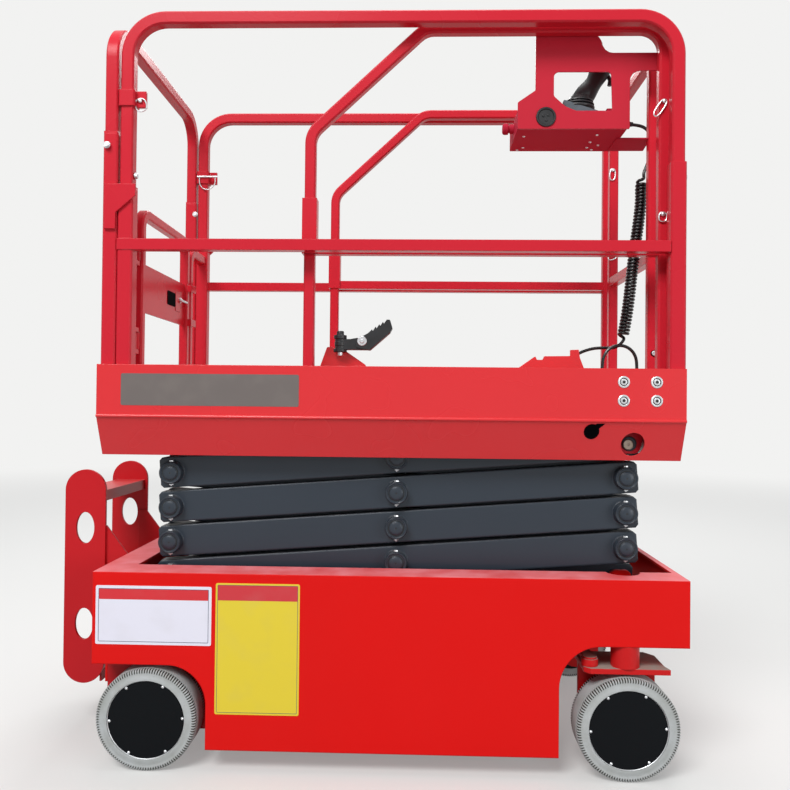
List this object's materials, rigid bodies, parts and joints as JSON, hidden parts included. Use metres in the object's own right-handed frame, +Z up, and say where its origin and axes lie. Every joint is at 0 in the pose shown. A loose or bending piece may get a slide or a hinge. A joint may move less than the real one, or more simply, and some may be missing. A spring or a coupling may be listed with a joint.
{
  "type": "scissor lift",
  "caption": "Small self-propelled scissor lift with stowed dark arms between a skirted red chassis and a railed platform with a sliding deck, gate and steered wheels.",
  "frame": {"origin": "centre of the footprint, on the ground", "axes": "+X towards the steered wheels and the platform's sliding end, +Z up, -Y the side that the picture shows"},
  "size_m": [1.5142, 0.76, 1.754],
  "materials": {
    "chassis_paint": "gloss",
    "platform_paint": "gloss",
    "arm_paint": "satin",
    "tyre": "matte",
    "wheel_cap": "satin",
    "steel": "brushed",
    "chrome": "polished",
    "black_plastic": "matte"
  },
  "bodies": {
    "chassis": {"chassis": "chassis_paint", "chassis_deck": "chassis_paint", "belly_pan": "chassis_paint", "battery_block": "black_plastic", "pivot_brackets": "chassis_paint", "chassis_channels": "chassis_paint", "rear_axles": "steel", "steps": "chassis_paint"},
    "rear_wheel_near_body": {"rear_tyre_near": "tyre", "rear_wheel_near": "wheel_cap"},
    "rear_wheel_far_body": {"rear_tyre_far": "tyre", "rear_wheel_far": "wheel_cap"},
    "knuckle_near": {"knuckle_near": "chassis_paint"},
    "knuckle_far": {"knuckle_far": "chassis_paint"},
    "tie_rod": {"tie_rod": "chassis_paint"},
    "front_wheel_near_body": {"front_tyre_near": "tyre", "front_wheel_near": "wheel_cap"},
    "front_wheel_far_body": {"front_tyre_far": "tyre", "front_wheel_far": "wheel_cap"},
    "inner_1": {"inner_arms_1": "arm_paint"},
    "outer_1": {"outer_arms_1": "arm_paint", "chassis_rollers": "steel"},
    "inner_2": {"inner_arms_2": "arm_paint"},
    "outer_2": {"outer_arms_2": "arm_paint"},
    "inner_3": {"inner_arms_3": "arm_paint"},
    "outer_3": {"outer_arms_3": "arm_paint"},
    "inner_4": {"inner_arms_4": "arm_paint", "platform_rollers": "steel"},
    "outer_4": {"outer_arms_4": "arm_paint"},
    "lift_barrel": {"lift_barrel": "arm_paint"},
    "lift_rod": {"lift_rod": "chrome"},
    "platform": {"platform_tray": "platform_paint", "platform_lugs": "platform_paint", "platform_channels": "platform_paint", "side_frame_near": "platform_paint", "side_frame_far": "platform_paint", "lower_frame_near": "platform_paint", "lower_frame_far": "platform_paint", "end_frame": "platform_paint", "end_posts": "platform_paint", "entry_frame": "platform_paint", "gate_hinges": "platform_paint", "slide_strips": "steel"},
    "gate": {"gate": "platform_paint"},
    "extension": {"extension_deck": "platform_paint", "extension_side_near": "platform_paint", "extension_side_far": "platform_paint", "extension_end": "platform_paint", "control_box": "platform_paint", "joystick": "black_plastic", "pedal_bracket": "platform_paint", "pedal": "black_plastic", "cable_bracket": "platform_paint", "cable_coil": "black_plastic", "cable_upper": "black_plastic", "cable_lower": "black_plastic"}
  },
  "joints": [
    {"name": "rear_wheel_near_spin", "type": "hinge", "parent": "chassis", "child": "rear_wheel_near_body", "pos_m": [-0.46687, -0.34, 0.115], "axis": [0, 1, 0], "continuous": true},
    {"name": "rear_wheel_far_spin", "type": "hinge", "parent": "chassis", "child": "rear_wheel_far_body", "pos_m": [-0.46687, 0.34, 0.115], "axis": [0, 1, 0], "continuous": true},
    {"name": "steer", "type": "hinge", "parent": "chassis", "child": "knuckle_near", "pos_m": [0.62113, -0.34, 0.25], "axis": [0, 0, 1], "range_deg": [-35, 35]},
    {"name": "steer_far", "type": "hinge", "parent": "chassis", "child": "knuckle_far", "pos_m": [0.62113, 0.34, 0.25], "axis": [0, 0, 1], "range_deg": [-35, 35]},
    {"name": "tie_rod_swing", "type": "hinge", "parent": "knuckle_near", "child": "tie_rod", "pos_m": [0.54112, -0.34, 0.256], "axis": [0, 0, 1], "range_deg": [-35, 35]},
    {"name": "front_wheel_near_spin", "type": "hinge", "parent": "knuckle_near", "child": "front_wheel_near_body", "pos_m": [0.62113, -0.34, 0.115], "axis": [0, 1, 0], "continuous": true},
    {"name": "front_wheel_far_spin", "type": "hinge", "parent": "knuckle_far", "child": "front_wheel_far_body", "pos_m": [0.62113, 0.34, 0.115], "axis": [0, 1, 0], "continuous": true},
    {"name": "lift", "type": "hinge", "parent": "chassis", "child": "inner_1", "pos_m": [0.63913, 0, 0.4175], "axis": [0, 1, 0], "range_deg": [0, 46]},
    {"name": "middle_pin_1", "type": "hinge", "parent": "inner_1", "child": "outer_1", "pos_m": [0.09513, 0, 0.4591], "axis": [0, 1, 0], "range_deg": [-92, 0]},
    {"name": "front_pin_1", "type": "hinge", "parent": "outer_1", "child": "inner_2", "pos_m": [0.63913, 0, 0.5007], "axis": [0, 1, 0], "range_deg": [0, 92]},
    {"name": "middle_pin_2", "type": "hinge", "parent": "inner_2", "child": "outer_2", "pos_m": [0.09513, 0, 0.5423], "axis": [0, 1, 0], "range_deg": [-92, 0]},
    {"name": "front_pin_2", "type": "hinge", "parent": "outer_2", "child": "inner_3", "pos_m": [0.63913, 0, 0.5839], "axis": [0, 1, 0], "range_deg": [0, 92]},
    {"name": "middle_pin_3", "type": "hinge", "parent": "inner_3", "child": "outer_3", "pos_m": [0.09513, 0, 0.6255], "axis": [0, 1, 0], "range_deg": [-92, 0]},
    {"name": "front_pin_3", "type": "hinge", "parent": "outer_3", "child": "inner_4", "pos_m": [0.63913, 0, 0.6671], "axis": [0, 1, 0], "range_deg": [0, 92]},
    {"name": "middle_pin_4", "type": "hinge", "parent": "inner_4", "child": "outer_4", "pos_m": [0.09513, 0, 0.7087], "axis": [0, 1, 0], "range_deg": [-92, 0]},
    {"name": "barrel_pivot", "type": "hinge", "parent": "inner_1", "child": "lift_barrel", "pos_m": [0.56375, 0, 0.42326], "axis": [0, 1, 0], "range_deg": [0, 14.92]},
    {"name": "rod_slide", "type": "slide", "parent": "lift_barrel", "child": "lift_rod", "axis": [-0.991, 0, 0.1339], "range_m": [0, 0.72069]},
    {"name": "platform_pivot", "type": "hinge", "parent": "outer_4", "child": "platform", "pos_m": [0.63913, 0, 0.7503], "axis": [0, 1, 0], "range_deg": [0, 46]},
    {"name": "gate_hinge", "type": "hinge", "parent": "platform", "child": "gate", "pos_m": [-0.54387, -0.262, 1.08], "axis": [0, 0, -1], "range_deg": [0, 80]},
    {"name": "extension_slide", "type": "slide", "parent": "platform", "child": "extension", "axis": [1, 0, 0], "range_m": [0, 0.6]}
  ],
  "couplings": [
    {"joint": "steer_far", "follows": "steer", "ratio": 1},
    {"joint": "tie_rod_swing", "follows": "steer", "ratio": -1},
    {"joint": "middle_pin_1", "follows": "lift", "ratio": -2},
    {"joint": "front_pin_1", "follows": "lift", "ratio": 2},
    {"joint": "middle_pin_2", "follows": "lift", "ratio": -2},
    {"joint": "front_pin_2", "follows": "lift", "ratio": 2},
    {"joint": "middle_pin_3", "follows": "lift", "ratio": -2},
    {"joint": "front_pin_3", "follows": "lift", "ratio": 2},
    {"joint": "middle_pin_4", "follows": "lift", "ratio": -2},
    {"joint": "barrel_pivot", "follows": "lift", "ratio": 0.31356},
    {"joint": "rod_slide", "follows": "lift", "m_per_rad": 0.89517},
    {"joint": "platform_pivot", "follows": "lift", "ratio": 1}
  ]
}
